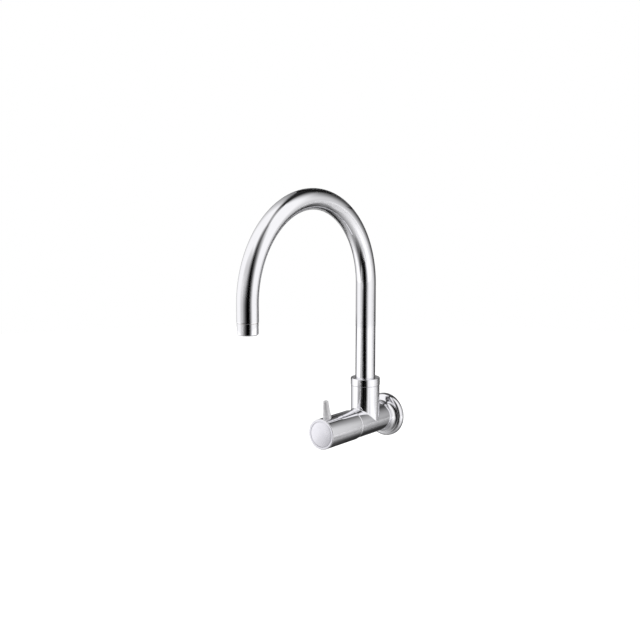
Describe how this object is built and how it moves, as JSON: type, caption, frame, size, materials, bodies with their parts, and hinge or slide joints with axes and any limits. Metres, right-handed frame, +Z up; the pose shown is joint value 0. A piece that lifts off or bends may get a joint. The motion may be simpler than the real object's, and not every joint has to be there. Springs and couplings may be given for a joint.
{
  "type": "wall-mounted kitchen faucet",
  "caption": "Chromed wall-mounted kitchen faucet with a swan-neck swivel spout, a trumpet-shaped wall flange and a quarter-turn knob with a small upright lever pin.",
  "frame": {"origin": "centre of the wall flange's back face, on the wall plane and on the inlet axis", "axes": "+Z up along the riser, +Y into the wall along the inlet tail, +X to the right when facing the wall; the faucet reaches out along -Y"},
  "size_m": [0.049, 0.2665, 0.2872],
  "materials": {
    "chrome": "polished chrome plate on brass",
    "brass": "machined",
    "rubber": "moulded, black",
    "nylon": "moulded, natural white",
    "ceramic": "lapped alumina, white",
    "steel": "stainless, plain",
    "aerator_plastic": "moulded, light grey"
  },
  "bodies": {
    "faucet_body": {"tee_body": "chrome", "wall_flange": "chrome", "spout_collar": "chrome", "valve_head": "brass", "wall_gasket": "rubber", "flange_o_ring": "rubber", "head_o_ring": "rubber", "seat_seal": "rubber", "lower_glide_ring": "nylon", "upper_glide_ring": "nylon", "glide_washer": "nylon", "knob_guide_ring": "nylon", "fixed_disc": "ceramic"},
    "handle": {"moving_disc": "ceramic", "spindle": "brass", "spindle_o_rings": "rubber", "stop_washer": "steel", "spindle_clip": "steel", "spline_insert": "brass", "handle_screw": "steel", "knob_sleeve": "chrome", "front_cap": "chrome", "cap_ring": "rubber", "lever_pin": "chrome"},
    "spout": {"spout_ferrule": "brass", "spout_o_rings": "rubber", "spout_tube": "chrome", "outlet_fitting": "brass", "aerator_shell": "chrome", "aerator_washer": "rubber", "aerator_screen": "steel", "aerator_insert": "aerator_plastic"}
  },
  "joints": [
    {"name": "handle_turn", "type": "hinge", "parent": "faucet_body", "child": "handle", "pos_m": [0, -0.0679, 0], "axis": [0, -1, 0], "range_deg": [0, 90]},
    {"name": "spout_swivel", "type": "hinge", "parent": "faucet_body", "child": "spout", "pos_m": [0, -0.0415, 0.028], "axis": [0, 0, 1], "range_deg": [-98, 98]}
  ]
}
